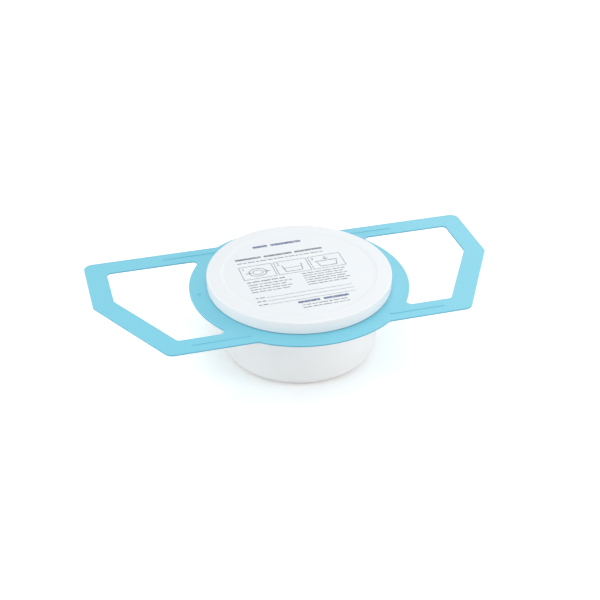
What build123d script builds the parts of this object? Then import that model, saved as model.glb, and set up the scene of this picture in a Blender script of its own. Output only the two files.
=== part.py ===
from build123d import *

import os
from math import hypot, radians, tan

# Commode specimen collector: a flat blue frame that spans a toilet bowl, a white tub
# that hangs in the frame's ring by its rolled rim, and a lid that snaps over the rim.
# Sizes are in millimetres. The origin is on the tub's axis at the plane it stands on,
# +X runs along the frame's long side, +Y to the back and +Z up.

# Tub wall and base
tub_radius = 72.0            # outside of the wall at the frame's top face
tub_draft = 1.5              # degrees that the wall leans out, so that it leaves its mould
tub_wall = 1.3
floor_thickness = 1.5
base_corner_radius = 10.0
base_recess = 2.0            # how far the middle of the base is pressed up
base_foot_width = 6.0        # flat ring that the tub stands on
base_recess_slope = 3.0      # width of the slope from the foot up to the recess

# Rolled rim of the tub
hang_height = 65.0           # the rim's lower edge, which rests on the frame
rim_height = 10.4
rim_overhang = 7.2           # from the wall out to the rim's outer face
rim_thickness = 1.4
rim_corner_bevel = 1.2
rim_bead = 0.4               # the lid snaps over this
rim_bead_height = 2.4
rim_bead_drop = 2.0          # from the rim's top down to the bead

# Lid
lid_thickness = 1.3
lid_shoulder_radius = 1.2
lid_inside_bevel = 0.8       # strengthens the corner under the shoulder
lid_side_gap = 1.6           # between the rim's bead and the inside of the skirt
lid_bead_clearance = 0.2     # between the lid's bead and the rim's
lid_bead_height = 2.0
lid_skirt_clearance = 0.5    # between the skirt's lower edge and the frame
lid_plug_depth = 5.0
lid_plug_thickness = 1.0
lid_plug_clearance = 0.25
lid_panel_recess = 0.5       # the middle of the lid lies this much lower
lid_panel_border = 12.5      # flat border from the lid's edge in to the recess
lid_panel_slope = 2.5

# Frame
frame_length = 366.0
frame_depth = 159.5          # over the two arms, front to back
corner_clip = 50.5           # length along X that each clipped front corner takes off
tip_offset = 7.5             # the clipped corners start this far behind the middle
arm_width = 19.0
frame_thickness = 1.5
ring_clearance = 0.25        # between the ring's hole and the tub wall
ring_width = 26.15
back_corner_radius = 8.0
front_corner_radius = 9.0
tip_radius = 6.0
window_corner_radius = 4.5
ring_junction_radius = 2.5
frame_edge_bevel = 0.4       # on the upper edges; the lower ones are the mould's parting line

# Raised stiffening lines and moulding mark on the frame
rib_length = 50.0
rib_width = 1.2
rib_height = 0.5
rib_setback = 12.0           # from the ring's outline in to the middle of each line
gate_mark_radius = 1.2
gate_mark_height = 0.8
gate_mark_inset = 7.9        # from the ring's outline in to the middle of the mark
gate_mark_turn = 2.6         # degrees behind the frame's left end, seen from the middle

# Sizes that follow from the ones above
rim_top = hang_height + rim_height
rim_radius = tub_radius + rim_overhang
rim_bead_radius = rim_radius + rim_bead
lid_inner_radius = rim_bead_radius + lid_side_gap
lid_radius = lid_inner_radius + lid_thickness
lid_top = rim_top + lid_thickness
lid_bottom = hang_height + lid_skirt_clearance
ring_hole_radius = tub_radius + ring_clearance
ring_radius = ring_hole_radius + ring_width
frame_bottom = hang_height - frame_thickness
nearness = 0.01              # two places closer than this count as one


def wall_radius(z):
    """Outside of the tub wall at height z."""
    return tub_radius + (z - hang_height) * tan(radians(tub_draft))


def profile(*points):
    """A closed half section, drawn as radius and height."""
    return Plane.XZ * make_face(Polyline(*points, close=True))


def near(face, radius, z):
    """The corner of a half section nearest to the given radius and height."""
    return face.vertices().sort_by_distance((radius, 0, z))[0]


def tub_section(inset, floor_level):
    """Half section of what lies inside the wall's surface, at an inset from the outside."""
    recess_outer = wall_radius(0) - base_corner_radius - base_foot_width
    recess_inner = recess_outer - base_recess_slope
    return profile(
        (0, floor_level + base_recess),
        (recess_inner, floor_level + base_recess),
        (recess_outer, floor_level),
        (wall_radius(floor_level) - inset, floor_level),
        (wall_radius(rim_top) - inset, rim_top),
        (0, rim_top),
    )


def tub_outside():
    """The tub as if it were solid, with its rounded base corner."""
    section = tub_section(0, 0)
    return revolve(fillet(near(section, wall_radius(0), 0), base_corner_radius), Axis.Z)


def tub_hollow():
    """The space in the tub: the wall's thickness inside the outer shape all over."""
    section = tub_section(tub_wall, floor_thickness)
    radius = base_corner_radius - tub_wall
    corner = near(section, wall_radius(floor_thickness) - tub_wall, floor_thickness)
    return revolve(fillet(corner, radius), Axis.Z)


def rolled_rim():
    """The tub's rim: a flat land, an outer wall down to the frame and its snap bead."""
    inside = wall_radius(rim_top) - tub_wall
    inner = rim_radius - rim_thickness
    land = rim_top - rim_thickness
    bead_top = rim_top - rim_bead_drop
    section = profile(
        (inside, rim_top),
        (inside, land),
        (inner, land),
        (inner, hang_height),
        (rim_radius, hang_height),
        (rim_radius, bead_top - rim_bead_height),
        (rim_bead_radius, bead_top - rim_bead_height / 2),
        (rim_radius, bead_top),
        (rim_radius, rim_top - rim_corner_bevel),
        (rim_radius - rim_corner_bevel, rim_top),
    )
    return revolve(section, Axis.Z)


def make_container():
    """Thin-walled tub on a pressed-up base, with its rolled rim."""
    return tub_outside() + rolled_rim() - tub_hollow()


def lid_skirt_section():
    """Half section of the lid's plate, shoulder, skirt and inner snap bead."""
    panel_outer = lid_radius - lid_panel_border
    panel_inner = panel_outer - lid_panel_slope
    bead_radius = rim_bead_radius + lid_bead_clearance
    bead_low = lid_bottom + lid_bead_height / 4
    section = profile(
        (0, lid_top - lid_panel_recess),
        (panel_inner, lid_top - lid_panel_recess),
        (panel_outer, lid_top),
        (lid_radius, lid_top),
        (lid_radius, lid_bottom),
        (lid_inner_radius, lid_bottom),
        (lid_inner_radius, bead_low),
        (bead_radius, bead_low + lid_bead_height / 2),
        (lid_inner_radius, bead_low + lid_bead_height),
        (lid_inner_radius, rim_top - lid_inside_bevel),
        (lid_inner_radius - lid_inside_bevel, rim_top),
        (panel_outer, rim_top),
        (panel_inner, rim_top - lid_panel_recess),
        (0, rim_top - lid_panel_recess),
    )
    return fillet(near(section, lid_radius, lid_top), lid_shoulder_radius)


def lid_plug_section():
    """Half section of the ring under the lid that seals inside the tub's mouth."""
    low = rim_top - lid_plug_depth
    outer = wall_radius(low) - tub_wall - lid_plug_clearance
    inner = outer - lid_plug_thickness
    root = rim_top + lid_thickness / 2 - lid_panel_recess
    lead = lid_plug_thickness / 2
    return profile((inner, low), (outer - lead, low), (outer, low + lead), (outer, root), (inner, root))


def make_lid():
    """Snap lid: shallow recessed panel, rounded shoulder, skirt and seal ring."""
    return revolve(lid_skirt_section(), Axis.Z) + revolve(lid_plug_section(), Axis.Z)


def frame_outline():
    """The frame's outline without its ring: a rectangle with both front corners clipped."""
    side = frame_length / 2
    edge = frame_depth / 2
    front = side - corner_clip
    return make_face(Polyline(
        (side, edge), (side, tip_offset), (front, -edge),
        (-front, -edge), (-side, tip_offset), (-side, edge), close=True,
    ))


def round_corners(face, radius, chosen):
    """Rounds the corners of a flat face for which chosen(x, y) holds."""
    corners = [v for v in face.vertices() if chosen(v.X, v.Y)]
    return face.face().fillet_2d(radius, corners)


def on_ring(x, y):
    return abs(hypot(x, y) - ring_radius) < nearness


def ringed_plate():
    """The frame seen from above, before its windows and the ring's hole are cut."""
    side = frame_length / 2 - nearness
    edge = frame_depth / 2 - nearness
    tip = tip_offset + nearness
    plate = frame_outline()
    plate = round_corners(plate, back_corner_radius, lambda x, y: y > edge)
    plate = round_corners(plate, front_corner_radius, lambda x, y: y < -edge)
    plate = round_corners(plate, tip_radius, lambda x, y: abs(x) > side and y < tip)
    plate += Circle(ring_radius)
    return round_corners(plate, ring_junction_radius, on_ring)


def windows():
    """The two openings between the ring and the arms."""
    inner = offset(frame_outline(), -arm_width, kind=Kind.INTERSECTION)
    openings = inner - Circle(ring_radius)
    return [round_corners(w, window_corner_radius, lambda x, y: True) for w in openings.faces()]


def stiffening_lines():
    """Raised lines along the middle of each arm, across its join to the ring."""
    middle = (frame_depth - arm_width) / 2
    line = extrude(SlotOverall(rib_length, rib_width), rib_height)
    places = [(s * (ring_radius - rib_setback), t * middle) for s in (-1, 1) for t in (-1, 1)]
    return [Pos(x, y, hang_height) * line for x, y in places]


def gate_mark():
    """Low round mark on the left of the ring, where the plastic was let into the mould."""
    mark = extrude(Circle(gate_mark_radius), gate_mark_height)
    return Rot(0, 0, -gate_mark_turn) * Pos(gate_mark_inset - ring_radius, 0, hang_height) * mark


def make_frame():
    """Flat moulded frame: ring, two wings with windows, stiffening lines and gate mark."""
    flat = ringed_plate() - Circle(ring_hole_radius)
    for window in windows():
        flat -= window
    plate = Pos(0, 0, frame_bottom) * extrude(flat, frame_thickness)
    plate = chamfer(plate.faces().sort_by(Axis.Z)[-1].edges(), frame_edge_bevel)
    return plate + stiffening_lines() + gate_mark()


os.makedirs("parts", exist_ok=True)
export_step(make_frame(), "parts/support_frame.step")
export_step(make_container(), "parts/container.step")
export_step(make_lid(), "parts/lid.step")
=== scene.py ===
import random
from math import atan2, cos, hypot, pi, radians, sin, tan

import bmesh
import bpy
from mathutils import Matrix, Vector


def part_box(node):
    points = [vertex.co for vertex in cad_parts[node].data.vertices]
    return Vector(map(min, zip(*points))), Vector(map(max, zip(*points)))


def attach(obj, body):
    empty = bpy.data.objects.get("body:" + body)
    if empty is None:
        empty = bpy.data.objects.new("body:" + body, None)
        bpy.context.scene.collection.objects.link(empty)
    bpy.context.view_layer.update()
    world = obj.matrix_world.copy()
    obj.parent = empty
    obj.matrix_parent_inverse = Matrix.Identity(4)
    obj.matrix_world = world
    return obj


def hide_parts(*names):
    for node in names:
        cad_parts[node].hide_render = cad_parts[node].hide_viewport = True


# Commode specimen collector: a flat blue moulded frame, a white tub that hangs in its
# ring, and a printed white lid that snaps over the tub's rim. Metres, in the CAD frame.
# Sizes named in millimetres are turned to metres by MM where they are used.

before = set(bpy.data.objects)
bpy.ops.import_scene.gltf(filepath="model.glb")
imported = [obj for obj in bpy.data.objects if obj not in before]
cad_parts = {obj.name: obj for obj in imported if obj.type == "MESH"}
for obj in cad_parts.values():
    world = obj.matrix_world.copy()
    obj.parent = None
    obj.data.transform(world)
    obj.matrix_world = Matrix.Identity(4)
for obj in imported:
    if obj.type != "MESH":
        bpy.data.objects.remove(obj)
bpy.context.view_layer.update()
scene = bpy.context.scene
MM = 0.001


# The camera
# A short telephoto about a metre away, a little to the left of the front and looking
# down. Its place was solved from the outlines of the frame, the lid and the tub.

CAMERA_LENS = 68.37
CAMERA_SENSOR = 36.0
CAMERA_AZIMUTH = radians(-15.84)
CAMERA_ELEVATION = radians(33.19)
CAMERA_ROLL = radians(0.12)
CAMERA_RIGHT_OF_ORIGIN = 0.87 * MM
CAMERA_ABOVE_ORIGIN = 38.12 * MM
CAMERA_DISTANCE = 1055.58 * MM

toward_camera = Vector((
    sin(CAMERA_AZIMUTH) * cos(CAMERA_ELEVATION),
    -cos(CAMERA_AZIMUTH) * cos(CAMERA_ELEVATION),
    sin(CAMERA_ELEVATION),
))
level_right = Vector((cos(CAMERA_AZIMUTH), sin(CAMERA_AZIMUTH), 0))
level_up = toward_camera.cross(level_right)
picture_right = cos(CAMERA_ROLL) * level_right + sin(CAMERA_ROLL) * level_up
picture_up = cos(CAMERA_ROLL) * level_up - sin(CAMERA_ROLL) * level_right

camera_data = bpy.data.cameras.new("camera")
camera_data.lens = CAMERA_LENS
camera_data.sensor_width = CAMERA_SENSOR
camera = bpy.data.objects.new("camera", camera_data)
camera.matrix_world = Matrix.Translation(
    CAMERA_RIGHT_OF_ORIGIN * picture_right
    + CAMERA_ABOVE_ORIGIN * picture_up
    + CAMERA_DISTANCE * toward_camera
) @ Matrix((picture_right, picture_up, toward_camera)).transposed().to_4x4()
scene.collection.objects.link(camera)
scene.camera = camera


# The room
# A white table top and a white background, lit as in a light tent: an even white
# surround with soft panels round it. The table keeps the object's shadow.

WORLD_LEVEL = 0.60
WORLD_TONE = (254, 254, 255)
TABLE_TONE = (248, 247, 246)
WARM_WHITE = (1.0, 0.965, 0.915)
COOL_WHITE = (0.99, 1.0, 1.0)
LEFT_WHITE = (1.0, 0.945, 0.905)
RIGHT_WHITE = (1.0, 0.935, 0.895)
BACK_WHITE = (1.0, 0.98, 0.97)
PANELS = [                      # name, place, size, power, colour, whether gloss shows it
    ("overhead_panel", (-0.10, 0.10, 1.30), 0.9, 2.9, COOL_WHITE, True),
    ("front_panel", (-0.35, -1.25, 0.50), 1.0, 2.2, WARM_WHITE, True),
    ("left_panel", (-1.10, -0.15, 0.36), 0.7, 4.5, LEFT_WHITE, False),
    ("right_panel", (0.95, -0.55, 0.30), 0.6, 4.5, RIGHT_WHITE, False),
    ("back_panel", (1.05, 1.00, 0.80), 1.7, 6.2, BACK_WHITE, True),
]
TABLE_HALF_SIZE = 12.0
NEAR_LIFT = 0.27                # light that the table gives off for the camera alone
FAR_LIFT = 0.60                 # and far away, where the panels don't reach it
LIFT_REACH = (0.4, 2.5)         # from the origin, where the near lift ends and the far starts
# The lift's fading near the tub paints a contact shadow on the table.
CONTACT_REACH = 0.045           # nearer than this to the tub the lift fades out


def tint(red, green, blue):
    """A colour given on the screen's scale of 0 to 255, as the shader's linear values."""
    def linear(value):
        share = value / 255
        return share / 12.92 if share <= 0.04045 else ((share + 0.055) / 1.055) ** 2.4
    return (linear(red), linear(green), linear(blue), 1.0)


def place_object(name, data):
    """An object at the origin, unturned and unscaled, in the scene."""
    made = bpy.data.objects.new(name, data)
    scene.collection.objects.link(made)
    return made


def feed(tree, value, socket):
    """Gives a socket its value: another socket's, or a number or colour of its own."""
    if isinstance(value, bpy.types.NodeSocket):
        tree.links.new(value, socket)
    else:
        socket.default_value = value


def worked_out(tree, operation, *values):
    """The result of a Math node."""
    node = tree.nodes.new("ShaderNodeMath")
    node.operation = operation
    for value, socket in zip(values, node.inputs):
        feed(tree, value, socket)
    return node.outputs[0]


def remapped(tree, value, start, end, low=0.0, high=1.0):
    """A value that runs from low to high while the one given runs from start to end."""
    node = tree.nodes.new("ShaderNodeMapRange")
    node.inputs["From Min"].default_value = start
    node.inputs["From Max"].default_value = end
    node.inputs["To Min"].default_value = low
    node.inputs["To Max"].default_value = high
    feed(tree, value, node.inputs["Value"])
    return node.outputs["Result"]


for name, place, size, power, colour, in_gloss in PANELS:
    panel_data = bpy.data.lights.new(name, "AREA")
    panel_data.shape = "DISK"
    panel_data.size = size
    panel_data.energy = power
    panel_data.color = colour
    panel = place_object(name, panel_data)
    panel.visible_glossy = in_gloss
    panel.matrix_world = (
        Matrix.Translation(place)
        @ Vector(place).to_track_quat("Z", "Y").to_matrix().to_4x4()
    )

world = bpy.data.worlds.new("white_room")
scene.world = world
world.use_nodes = True
tree = world.node_tree
tree.nodes.clear()
seen_by = tree.nodes.new("ShaderNodeLightPath").outputs
camera_or_gloss = worked_out(
    tree, "MAXIMUM", seen_by["Is Camera Ray"], seen_by["Is Glossy Ray"])
shown_white = worked_out(
    tree, "MAXIMUM", camera_or_gloss, seen_by["Is Transmission Ray"])
lighting = tree.nodes.new("ShaderNodeBackground")
lighting.inputs["Color"].default_value = tint(*WORLD_TONE)
lighting.inputs["Strength"].default_value = WORLD_LEVEL
shown = tree.nodes.new("ShaderNodeBackground")
shown.inputs["Color"].default_value = (1, 1, 1, 1)
shown.inputs["Strength"].default_value = 1.0
either = tree.nodes.new("ShaderNodeMixShader")
for value, socket in zip((shown_white, lighting.outputs[0], shown.outputs[0]), either.inputs):
    feed(tree, value, socket)
feed(tree, either.outputs[0], tree.nodes.new("ShaderNodeOutputWorld").inputs["Surface"])

white_table = bpy.data.materials.new("white_table")
white_table.use_nodes = True
tree = white_table.node_tree
tree.nodes.clear()
matt = tree.nodes.new("ShaderNodeBsdfDiffuse")
matt.inputs["Color"].default_value = tint(*TABLE_TONE)
from_origin = tree.nodes.new("ShaderNodeVectorMath")
from_origin.operation = "LENGTH"
table_place = tree.nodes.new("ShaderNodeTexCoord").outputs["Object"]
feed(tree, table_place, from_origin.inputs[0])
by_distance = remapped(tree, from_origin.outputs["Value"], *LIFT_REACH, NEAR_LIFT, FAR_LIFT)
seen_by = tree.nodes.new("ShaderNodeLightPath").outputs
for_camera = worked_out(tree, "MULTIPLY", seen_by["Is Camera Ray"], by_distance)
# Painted contact shadow: the lift fades by occlusion where the tub stands near the table.
open_table = tree.nodes.new("ShaderNodeAmbientOcclusion")
open_table.inputs["Distance"].default_value = CONTACT_REACH
lift = tree.nodes.new("ShaderNodeEmission")
lift.inputs["Color"].default_value = (1, 1, 1, 1)
faded = worked_out(tree, "MULTIPLY", for_camera, open_table.outputs["AO"])
feed(tree, faded, lift.inputs["Strength"])
both = tree.nodes.new("ShaderNodeAddShader")
feed(tree, matt.outputs[0], both.inputs[0])
feed(tree, lift.outputs[0], both.inputs[1])
feed(tree, both.outputs[0], tree.nodes.new("ShaderNodeOutputMaterial").inputs["Surface"])

table_mesh = bpy.data.meshes.new("table_top")
bm = bmesh.new()
bmesh.ops.create_grid(bm, x_segments=1, y_segments=1, size=TABLE_HALF_SIZE)
bm.to_mesh(table_mesh)
bm.free()
table_mesh.materials.append(white_table)
place_object("table_top", table_mesh)

scene.view_settings.view_transform = "Standard"


# The support frame
# One flat injection moulding in sky-blue polypropylene, 1.5 mm thick, with a satin face.
# The CAD node has its shape, raised lines and gate mark, so it keeps its own mesh.

FRAME_BLUE = tint(119, 204, 226)
FRAME_BLUE_PALE = tint(128, 209, 230)
# painted shade for the frame's steep edges
FRAME_BLUE_PAINTED_SHADE = tint(82, 166, 196)
HANG_HEIGHT = 65.0              # the frame's top face, which the tub's rim rests on
STEEP, FLAT = 0.20, 0.75        # upward share of a face's direction on a side, and off it
JUST_OVER = 0.05                # so that an edge at the very height still counts
SCUFF_TURN = radians(24)
SCUFF_STRETCH = 7.0             # how many times longer than wide a scuff is
SCUFF_STARTS, SCUFF_FULL = 0.60, 0.80


def moulded_surface():
    """Node group for the skin of a moulding, from its place on the piece.

    Grain is the fine spark-eroded texture of the mould, Flow the slow cloudiness that
    the plastic leaves as it spreads, and Scuff the sparse rubs of packing and handling.
    """
    group = bpy.data.node_groups.new("Moulded surface", "ShaderNodeTree")
    sockets = group.interface
    for name, value in (("Grain Scale", 1400.0), ("Flow Scale", 14.0), ("Scuff Scale", 60.0)):
        socket = sockets.new_socket(name, in_out="INPUT", socket_type="NodeSocketFloat")
        socket.default_value = value
    for name in ("Grain", "Flow", "Scuff"):
        sockets.new_socket(name, in_out="OUTPUT", socket_type="NodeSocketFloat")
    given = group.nodes.new("NodeGroupInput").outputs
    result = group.nodes.new("NodeGroupOutput").inputs
    place = group.nodes.new("ShaderNodeTexCoord").outputs["Object"]

    grain = group.nodes.new("ShaderNodeTexNoise")
    grain.inputs["Detail"].default_value = 2.0
    grain.inputs["Roughness"].default_value = 0.55
    feed(group, place, grain.inputs["Vector"])
    feed(group, given["Grain Scale"], grain.inputs["Scale"])
    feed(group, grain.outputs["Fac"], result["Grain"])

    flow = group.nodes.new("ShaderNodeTexNoise")
    flow.inputs["Detail"].default_value = 3.0
    flow.inputs["Distortion"].default_value = 0.6
    feed(group, place, flow.inputs["Vector"])
    feed(group, given["Flow Scale"], flow.inputs["Scale"])
    feed(group, flow.outputs["Fac"], result["Flow"])

    stretched = group.nodes.new("ShaderNodeMapping")
    stretched.inputs["Rotation"].default_value = (0, 0, SCUFF_TURN)
    stretched.inputs["Scale"].default_value = (1.0, SCUFF_STRETCH, 1.0)
    feed(group, place, stretched.inputs["Vector"])
    scuff = group.nodes.new("ShaderNodeTexNoise")
    scuff.inputs["Detail"].default_value = 4.0
    feed(group, stretched.outputs["Vector"], scuff.inputs["Vector"])
    feed(group, given["Scuff Scale"], scuff.inputs["Scale"])
    sparse = remapped(group, scuff.outputs["Fac"], SCUFF_STARTS, SCUFF_FULL)
    feed(group, sparse, result["Scuff"])
    return group


def mixed(tree, share, first, second):
    """A colour between two others, as the share says."""
    node = tree.nodes.new("ShaderNodeMix")
    node.data_type = "RGBA"
    feed(tree, share, node.inputs["Factor"])
    feed(tree, first, node.inputs["A"])
    feed(tree, second, node.inputs["B"])
    return node.outputs["Result"]


def moulded_plastic(name, colour, pale, roughness, rubbed, grain_depth, **scales):
    """A moulded plastic: its colour drifts with the flow and its gloss drops where rubbed."""
    material = bpy.data.materials.new(name)
    material.use_nodes = True
    tree = material.node_tree
    plastic = tree.nodes["Principled BSDF"].inputs
    skin = tree.nodes.new("ShaderNodeGroup")
    skin.node_tree = moulded_skin
    for socket, value in scales.items():
        skin.inputs[socket.replace("_", " ").title()].default_value = value
    drift = mixed(tree, skin.outputs["Flow"], colour, pale)
    feed(tree, drift, plastic["Base Color"])
    gloss = remapped(tree, skin.outputs["Scuff"], 0.0, 1.0, roughness, rubbed)
    feed(tree, gloss, plastic["Roughness"])
    bump = tree.nodes.new("ShaderNodeBump")
    bump.inputs["Strength"].default_value = 0.5
    bump.inputs["Distance"].default_value = grain_depth * MM
    feed(tree, skin.outputs["Grain"], bump.inputs["Height"])
    feed(tree, bump.outputs["Normal"], plastic["Normal"])
    plastic["IOR"].default_value = 1.49
    return material


def other_tone_on_sides(material, tone, highest):
    """Paints shade on the steep faces of a piece, up to a height in millimetres, in the tone
    given.
    """
    tree = material.node_tree
    plastic = tree.nodes["Principled BSDF"].inputs
    coordinates = tree.nodes.new("ShaderNodeTexCoord").outputs
    facing = tree.nodes.new("ShaderNodeSeparateXYZ")
    feed(tree, coordinates["Normal"], facing.inputs["Vector"])
    level = worked_out(tree, "ABSOLUTE", facing.outputs["Z"])
    point = tree.nodes.new("ShaderNodeSeparateXYZ")
    feed(tree, coordinates["Object"], point.inputs["Vector"])
    low_enough = worked_out(
        tree, "LESS_THAN", point.outputs["Z"], (highest + JUST_OVER) * MM)
    on_side = worked_out(tree, "MULTIPLY", remapped(tree, level, FLAT, STEEP), low_enough)
    face_tone = plastic["Base Color"].links[0].from_socket
    feed(tree, mixed(tree, on_side, face_tone, tone), plastic["Base Color"])


moulded_skin = moulded_surface()
blue_polypropylene = moulded_plastic(
    "blue_polypropylene", FRAME_BLUE, FRAME_BLUE_PALE,
    roughness=0.42, rubbed=0.55, grain_depth=0.012, grain_scale=1500.0, flow_scale=11.0,
)
# Painted shade: the frame's steep edges get a deeper blue for the shade they stand in.
# The raised lines stand above the edges and keep the colour of the face.
other_tone_on_sides(blue_polypropylene, FRAME_BLUE_PAINTED_SHADE, HANG_HEIGHT)
for material_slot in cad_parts["support_frame"].material_slots:
    material_slot.material = blue_polypropylene


# The tub
# One thin-walled moulding in white polyethylene. Its floor is pressed up in the middle,
# its wall leans out by a degree and a half, and its rolled rim hangs on the frame.

TUB_WHITE = tint(238, 240, 242)
TUB_WHITE_PALE = tint(242, 244, 246)
LIGHT_REACH = 4.0               # how far light spreads inside the plastic
WALL = 1.3
WALL_LEAN = tan(radians(1.5))
WALL_RADIUS_AT_HANG = 72.0
FLOOR_LEVEL = 1.5
BASE_CORNER = 10.0
INSIDE_CORNER = BASE_CORNER - WALL
FOOT_WIDTH = 6.0                # flat ring that the tub stands on
RECESS = 2.0                    # how far the middle of the floor is pressed up
RECESS_SLOPE = 3.0              # width of the slope from the foot up to the recess
_, tub_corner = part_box("container")
RIM_TOP = tub_corner.z / MM
RIM_WALL = 1.4
RIM_LAND = RIM_TOP - RIM_WALL
RIM_BEAD = 0.4                  # how far the snap bead stands out from the rim
RIM_BEAD_RADIUS = tub_corner.x / MM
RIM_RADIUS = RIM_BEAD_RADIUS - RIM_BEAD
RIM_BEAD_TOP = RIM_TOP - 2.0
RIM_BEAD_HEIGHT = 2.4
TURN_STEPS = 160                # faces round each turned piece
MERGE_WITHIN = 0.002


def wall_radius(height):
    """Outside of the tub's wall, in millimetres."""
    return WALL_RADIUS_AT_HANG + (height - HANG_HEIGHT) * WALL_LEAN


FOOT_INSIDE = wall_radius(0) - BASE_CORNER - FOOT_WIDTH
RECESS_RADIUS = FOOT_INSIDE - RECESS_SLOPE


def turned_piece(name, corners, material):
    """Spins a half section about Z. A corner is radius, height and its rounding, in mm.

    The section runs from the axis out and back to the axis, so that the body is closed.
    """
    bm = bmesh.new()
    points = [bm.verts.new((radius * MM, 0, height * MM)) for radius, height, _ in corners]
    for start, end in zip(points, points[1:]):
        bm.edges.new((start, end))
    for point, (_, _, rounding) in zip(points, corners):
        if rounding:
            bmesh.ops.bevel(
                bm, geom=[point], affect="VERTICES", offset=rounding * MM,
                segments=2 if rounding < 1 else 4 if rounding < 5 else 8,
                profile=0.5, material=-1,
            )
    bmesh.ops.spin(
        bm, geom=bm.verts[:] + bm.edges[:], axis=(0, 0, 1), cent=(0, 0, 0),
        angle=2 * pi, steps=TURN_STEPS, use_merge=True,
    )
    bmesh.ops.remove_doubles(bm, verts=bm.verts[:], dist=MERGE_WITHIN * MM)
    bmesh.ops.recalc_face_normals(bm, faces=bm.faces[:])
    for face in bm.faces:
        face.smooth = True
    mesh = bpy.data.meshes.new(name)
    bm.to_mesh(mesh)
    bm.free()
    mesh.materials.append(material)
    piece = place_object(name, mesh)
    flat_faces = piece.modifiers.new("flat faces stay flat", "WEIGHTED_NORMAL")
    flat_faces.weight = 80
    return piece


white_polyethylene = moulded_plastic(
    "white_polyethylene", TUB_WHITE, TUB_WHITE_PALE,
    roughness=0.44, rubbed=0.58, grain_depth=0.010, grain_scale=1100.0, flow_scale=17.0,
)
tub_shader = white_polyethylene.node_tree.nodes["Principled BSDF"]
tub_shader.inputs["Subsurface Weight"].default_value = 0.5
tub_shader.inputs["Subsurface Radius"].default_value = (1.0, 1.0, 1.0)
tub_shader.inputs["Subsurface Scale"].default_value = LIGHT_REACH * MM
tub = turned_piece("tub_moulding", [
    (0, RECESS, 0),
    (RECESS_RADIUS, RECESS, 1.5),
    (FOOT_INSIDE, 0, 1.2),
    (wall_radius(0), 0, BASE_CORNER),
    (wall_radius(RIM_LAND), RIM_LAND, 0.4),
    (RIM_RADIUS - RIM_WALL, RIM_LAND, 0.6),
    (RIM_RADIUS - RIM_WALL, HANG_HEIGHT, 0.3),
    (RIM_RADIUS, HANG_HEIGHT, 0.4),
    (RIM_RADIUS, RIM_BEAD_TOP - RIM_BEAD_HEIGHT, 0.3),
    (RIM_BEAD_RADIUS, RIM_BEAD_TOP - RIM_BEAD_HEIGHT / 2, 0),
    (RIM_RADIUS, RIM_BEAD_TOP, 0.3),
    (RIM_RADIUS, RIM_TOP, 1.5),
    (wall_radius(RIM_TOP) - WALL, RIM_TOP, 0.5),
    (wall_radius(FLOOR_LEVEL) - WALL, FLOOR_LEVEL, INSIDE_CORNER),
    (FOOT_INSIDE, FLOOR_LEVEL, 1.2),
    (RECESS_RADIUS, FLOOR_LEVEL + RECESS, 1.5),
    (0, FLOOR_LEVEL + RECESS, 0),
], white_polyethylene)
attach(tub, "tub")
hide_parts("container")


# The scale in the tub
# Lines at every 50 millilitres and figures at every 100, raised on the inside of the
# wall and moulded in one with the tub. Their heights follow from the tub's own inside.

SCALE_STEP = 50
FIGURE_STEP = 100
SCALE_FULL = 800
SLICE = 0.02                    # height of the slices that the volume is added up from
CUBIC_MM_IN_ML = 1000
SHORT_LINE, LONG_LINE = 7.0, 13.0
LINE_HEIGHT = 1.0
RAISED = 0.8                    # how far the scale stands out from the wall
SUNK = 0.15                     # and how far it goes into it
FIGURE_SIZE = 5.6
FIGURE_GAP = 1.5
SCALE_TURN = radians(90)        # the scale is in the middle of the back


def inside_radius(height):
    """Radius of the tub's hollow, in millimetres, with its rounded lower corner."""
    radius = wall_radius(height) - WALL
    below = FLOOR_LEVEL + INSIDE_CORNER - height
    if below > 0:
        radius -= INSIDE_CORNER - (INSIDE_CORNER ** 2 - below ** 2) ** 0.5
    return radius


def on_inside_wall(bm, level):
    """Bends a flat drawing, in millimetres, round the inside of the wall at a level."""
    for vert in bm.verts:
        across, up, out = vert.co
        radius = inside_radius(level + up) + SUNK - out
        turn = SCALE_TURN - across / radius
        vert.co = Vector((radius * cos(turn), radius * sin(turn), level + up)) * MM


def raised_by(bm, faces, height):
    """Pulls flat faces up into closed bodies."""
    raised = bmesh.ops.extrude_face_region(bm, geom=faces, use_keep_orig=True)
    top = [item for item in raised["geom"] if isinstance(item, bmesh.types.BMVert)]
    bmesh.ops.translate(bm, verts=top, vec=(0, 0, height))


def add_figures(bm, text, size, depth, align, place):
    """Adds plain numbers as closed bodies that stand on the drawing's plane."""
    curve = bpy.data.curves.new("figures", "FONT")
    curve.body = text
    curve.size = size
    curve.align_x = align
    curve.align_y = "CENTER"
    curve.extrude = depth / 2
    curve.resolution_u = 3
    holder = bpy.data.objects.new("figures", curve)
    mesh = bpy.data.meshes.new_from_object(holder)
    mesh.transform(place @ Matrix.Translation((0, 0, depth / 2)))
    bm.from_mesh(mesh)
    bpy.data.objects.remove(holder)
    bpy.data.curves.remove(curve)
    bpy.data.meshes.remove(mesh)


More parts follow.
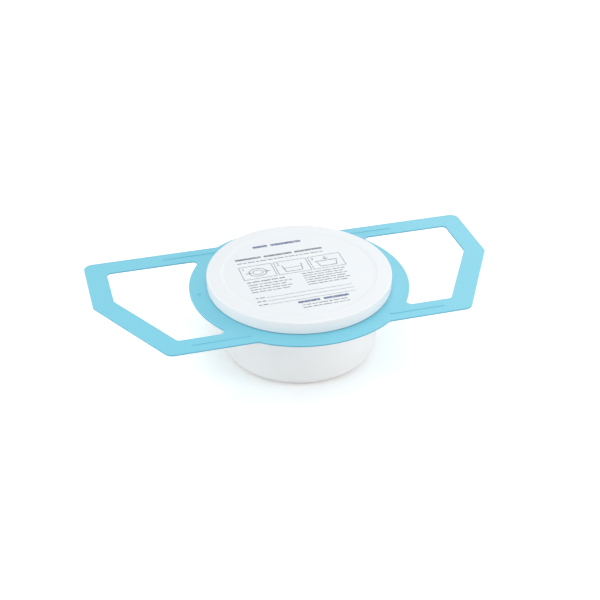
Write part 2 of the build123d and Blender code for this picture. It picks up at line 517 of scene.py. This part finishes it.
scale = bmesh.new()
pressed_up = (FOOT_INSIDE + RECESS_RADIUS) / 2
level, line = FLOOR_LEVEL, SCALE_STEP
held = -RECESS * pi * pressed_up ** 2 / CUBIC_MM_IN_ML
while line <= SCALE_FULL:
    level += SLICE
    held += pi * inside_radius(level) ** 2 * SLICE / CUBIC_MM_IN_ML
    if held < line:
        continue
    mark = bmesh.new()
    length = SHORT_LINE if line % FIGURE_STEP else LONG_LINE
    bmesh.ops.create_grid(mark, x_segments=8, y_segments=1, size=0.5, matrix=(
        Matrix.Translation((length / 2, 0, 0)) @ Matrix.Diagonal((length, LINE_HEIGHT, 1, 1))
    ))
    raised_by(mark, mark.faces[:], SUNK + RAISED)
    if not line % FIGURE_STEP:
        beside = Matrix.Translation((-FIGURE_GAP, 0, 0))
        add_figures(mark, str(line), FIGURE_SIZE, SUNK + RAISED, "RIGHT", beside)
    bmesh.ops.remove_doubles(mark, verts=mark.verts[:], dist=MERGE_WITHIN)
    on_inside_wall(mark, level)
    bmesh.ops.recalc_face_normals(mark, faces=mark.faces[:])
    mark_mesh = bpy.data.meshes.new("mark")
    mark.to_mesh(mark_mesh)
    mark.free()
    scale.from_mesh(mark_mesh)
    bpy.data.meshes.remove(mark_mesh)
    line += SCALE_STEP
scale_mesh = bpy.data.meshes.new("tub_scale")
scale.to_mesh(scale_mesh)
scale.free()
scale_mesh.materials.append(white_polyethylene)
tub_scale = place_object("tub_scale", scale_mesh)
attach(tub_scale, "tub")


# The lid
# One thin moulding in white polypropylene: a shallow recessed panel for the print, a
# rounded shoulder, a skirt with a snap bead, and a seal ring inside the tub's mouth.

LID_WHITE = tint(231, 237, 241)
LID_WHITE_PALE = tint(236, 241, 245)
# painted shade for the lid's skirt and other steep sides
LID_WHITE_PAINTED_SHADE = tint(235, 235, 237)
LID_WALL = 1.3
lid_low_corner, lid_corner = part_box("lid")
LID_RADIUS = lid_corner.x / MM
LID_TOP = lid_corner.z / MM
LID_BOTTOM = lid_low_corner.z / MM
LID_INSIDE = LID_RADIUS - LID_WALL
LID_BEAD_RADIUS = RIM_BEAD_RADIUS + 0.2
LID_BEAD_LOW = LID_BOTTOM + 0.5
LID_BEAD_HEIGHT = 2.0
PANEL_EDGE = LID_RADIUS - 12.5
PANEL_RADIUS = PANEL_EDGE - 2.5
PANEL_TOP = LID_TOP - 0.5
SEAL_BOTTOM = RIM_TOP - 5.0
SEAL_RADIUS = wall_radius(SEAL_BOTTOM) - WALL - 0.25
SEAL_WALL = 1.0
SEAL_ROOT = RIM_TOP - 0.1

white_lid_plastic = moulded_plastic(
    "white_lid_plastic", LID_WHITE, LID_WHITE_PALE,
    roughness=0.38, rubbed=0.52, grain_depth=0.008, grain_scale=1300.0, flow_scale=13.0,
)
# Painted shade: the lid's skirt and other steep sides get a greyer, less blue white than its
# top.
other_tone_on_sides(white_lid_plastic, LID_WHITE_PAINTED_SHADE, LID_TOP)
lid = turned_piece("lid_moulding", [
    (0, PANEL_TOP, 0),
    (PANEL_RADIUS, PANEL_TOP, 0.6),
    (PANEL_EDGE, LID_TOP, 0.6),
    (LID_RADIUS, LID_TOP, 1.2),
    (LID_RADIUS, LID_BOTTOM, 0.3),
    (LID_INSIDE, LID_BOTTOM, 0.3),
    (LID_INSIDE, LID_BEAD_LOW, 0),
    (LID_BEAD_RADIUS, LID_BEAD_LOW + LID_BEAD_HEIGHT / 2, 0.4),
    (LID_INSIDE, LID_BEAD_LOW + LID_BEAD_HEIGHT, 0),
    (LID_INSIDE, RIM_TOP, 0.8),
    (SEAL_RADIUS, RIM_TOP, 0.3),
    (SEAL_RADIUS, SEAL_BOTTOM, 0.5),
    (SEAL_RADIUS - SEAL_WALL, SEAL_BOTTOM, 0.3),
    (SEAL_RADIUS - SEAL_WALL, SEAL_ROOT, 0),
    (PANEL_RADIUS, PANEL_TOP - LID_WALL, 0),
    (0, PANEL_TOP - LID_WALL, 0),
], white_lid_plastic)
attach(lid, "cover")
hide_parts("lid")


# The print on the lid
# Blue and slate ink pressed straight on to the recessed panel. Bars and strokes stand
# for the words, and three general drawings of the steps carry plain numbers.

NAVY_INK = tint(74, 94, 142)
SLATE_INK = tint(96, 110, 124)
PALE_INK = tint(128, 141, 152)
INK_THICKNESS = 0.05
THIN_STARTS, THIN_FULL = 0.45, 0.85
BAR_ROUNDING = 0.4              # as a share of a bar's thickness
SHORTEST_WORD, LONGEST_WORD, WORD_GAP = 2.4, 9.0, 1.0
PRINT_TURN = radians(1.5)       # the print sits a little askew to the frame
BOX_LEFT, BOX_WIDTH, BOX_STEP = -50.5, 30, 32.2     # the three boxes with the drawings
BOX_LOW, BOX_HIGH = -1, 20.5
NUMBER_IN, NUMBER_DOWN = 1.6, 4.3                   # from a box's upper left corner
on_panel = Matrix.Rotation(PRINT_TURN, 4, "Z") @ Matrix.Translation((0, 0, PANEL_TOP * MM))
lengths = random.Random(7)


def printing_ink(name, colour):
    """Thin ink that shows the plastic's tone a little where it has gone on unevenly."""
    material = bpy.data.materials.new(name)
    material.use_nodes = True
    tree = material.node_tree
    ink = tree.nodes["Principled BSDF"].inputs
    skin = tree.nodes.new("ShaderNodeGroup")
    skin.node_tree = moulded_skin
    skin.inputs["Flow Scale"].default_value = 900.0
    thin = remapped(tree, skin.outputs["Flow"], THIN_STARTS, THIN_FULL)
    feed(tree, mixed(tree, thin, colour, LID_WHITE), ink["Base Color"])
    ink["Roughness"].default_value = 0.5
    return material


def stroke(ink, start, end, width):
    """A straight inked line between two points of the panel, in millimetres."""
    run, rise = end[0] - start[0], end[1] - start[1]
    middle = Vector(((start[0] + end[0]) / 2, (start[1] + end[1]) / 2, 0)) * MM
    bmesh.ops.create_cube(ink, size=1, matrix=(
        on_panel @ Matrix.Translation(middle) @ Matrix.Rotation(atan2(rise, run), 4, "Z")
        @ Matrix.Diagonal((hypot(run, rise) * MM, width * MM, INK_THICKNESS * MM, 1))
    ))


def oval(ink, centre, radius_x, radius_y, width):
    """An inked oval line on the panel, in millimetres."""
    made = bmesh.ops.create_circle(
        ink, cap_ends=True, segments=28, radius=MM,
        matrix=on_panel @ Matrix.Translation((centre[0] * MM, centre[1] * MM, 0))
        @ Matrix.Diagonal((radius_x, radius_y, 1, 1)),
    )
    disc = list({face for vert in made["verts"] for face in vert.link_faces})
    bmesh.ops.inset_individual(ink, faces=disc, thickness=width * MM, use_even_offset=True)
    around = list({face for vert in made["verts"] for face in vert.link_faces})
    bmesh.ops.delete(ink, geom=disc, context="FACES_ONLY")
    raised_by(ink, around, INK_THICKNESS / 2 * MM)


def bar(ink, left, right, height, thickness):
    """A plain bar with rounded ends, in the place of a word."""
    made = bmesh.ops.create_cube(ink, size=1, matrix=(
        on_panel @ Matrix.Translation(Vector(((left + right) / 2, height, 0)) * MM)
        @ Matrix.Diagonal(((right - left) * MM, thickness * MM, INK_THICKNESS * MM, 1))
    ))
    uprights = [
        edge for edge in {edge for vert in made["verts"] for edge in vert.link_edges}
        if abs(edge.verts[0].co.z - edge.verts[1].co.z) > INK_THICKNESS / 2 * MM
    ]
    bmesh.ops.bevel(
        ink, geom=uprights, affect="EDGES", offset=BAR_ROUNDING * thickness * MM,
        segments=4, profile=0.5, material=-1,
    )


def fine_print(ink, left, right, height, thickness):
    """A line of short strokes of various lengths, in the place of small words."""
    start = left
    while start < right - 2 * WORD_GAP:
        end = min(start + lengths.uniform(SHORTEST_WORD, LONGEST_WORD), right)
        stroke(ink, (start, height), (end, height), thickness)
        start = end + WORD_GAP


def box_outline(ink, left, right, low, high, width):
    """The four sides of a box round a drawing."""
    for height in (low, high):
        stroke(ink, (left, height), (right, height), width)
    for side in (left, right):
        stroke(ink, (side, low), (side, high), width)


def printed(name, ink, colour):
    """Finishes one colour of print as a piece on the lid."""
    bmesh.ops.recalc_face_normals(ink, faces=ink.faces[:])
    mesh = bpy.data.meshes.new(name)
    ink.to_mesh(mesh)
    ink.free()
    mesh.materials.append(printing_ink(name + "_ink", colour))
    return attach(place_object(name, mesh), "cover")


# Navy: the large words at the top and the bottom, and a number in each box's corner.
navy = bmesh.new()
for left, right in ((-29, -15), (-12, 17)):
    bar(navy, left, right, 51.3, 3.4)
for left, right in ((-16, 4), (7, 30)):
    bar(navy, left, right, -48.3, 3.2)
for box in range(3):
    corner = Vector((BOX_LEFT + BOX_STEP * box + NUMBER_IN, BOX_HIGH - NUMBER_DOWN, 0)) * MM
    to_size = Matrix.Diagonal((MM, MM, INK_THICKNESS / 2 * MM, 1))
    in_corner = on_panel @ Matrix.Translation(corner) @ to_size
    add_figures(navy, str(box + 1), 6.0, 1.0, "LEFT", in_corner)
bmesh.ops.remove_doubles(navy, verts=navy.verts[:], dist=MERGE_WITHIN * MM)
printed("lid_print_navy", navy, NAVY_INK)

# Slate: the heading and the line under it, the two blocks of directions, the three
# lines to fill in with their short words, the address, and the boxes.
slate = bmesh.new()
for left, right in ((-50.5, -26), (-23.5, 3), (5.5, 32)):
    bar(slate, left, right, 33.4, 2.9)
fine_print(slate, -50, 31, 27.2, 1.2)
fine_print(slate, -49.5, -14, -6, 1.6)
for row in range(4):
    fine_print(slate, -49.5, -10 - 5 * (row % 2), -10.6 - 3.9 * row, 1.1)
for row in range(6):
    fine_print(slate, 1, 41 - 3 * (row % 2), -5 - 3.7 * row, 1.1)
for row in range(3):
    height = -32.3 - 5.4 * row
    fine_print(slate, -49, -41, height, 1.3)
    stroke(slate, (-40, height - 0.8), (38, height - 0.8), 0.5)
for height in (-53.4, -57.2):
    fine_print(slate, -14, 28, height, 1.1)
for box in range(3):
    left = BOX_LEFT + BOX_STEP * box
    box_outline(slate, left, left + BOX_WIDTH, BOX_LOW, BOX_HIGH, 0.6)
printed("lid_print_slate", slate, SLATE_INK)

# Pale: the ring and its arms from above, a filled tub from the side, and a lid that is
# put on a tub.
pale = bmesh.new()
from_above, filled, closed = (
    BOX_LEFT + BOX_WIDTH / 2 + BOX_STEP * box for box in range(3)
)
oval(pale, (from_above, 9.0), 8.5, 6.8, 1.0)
oval(pale, (from_above, 9.0), 5.0, 3.9, 0.8)
for side in (-1, 1):
    stroke(pale, (from_above + 5.5 * side, 9.0), (from_above + 11.5 * side, 9.0), 1.0)
    stroke(pale, (filled + 9 * side, 13.5), (filled + 7.5 * side, 2.5), 1.0)
    stroke(pale, (closed + 9 * side, 9.5), (closed + 7.5 * side, 2.5), 1.0)
    stroke(pale, (closed + 2.6 * side, 15.6), (closed, 13.2), 0.9)
stroke(pale, (filled - 7.5, 2.5), (filled + 7.5, 2.5), 1.0)
stroke(pale, (filled - 8.0, 8.5), (filled + 8.0, 8.5), 0.7)
stroke(pale, (closed - 7.5, 2.5), (closed + 7.5, 2.5), 1.0)
stroke(pale, (closed - 10.5, 11.2), (closed + 10.5, 11.2), 1.2)
stroke(pale, (closed, 18.6), (closed, 13.4), 0.9)
printed("lid_print_pictures", pale, PALE_INK)
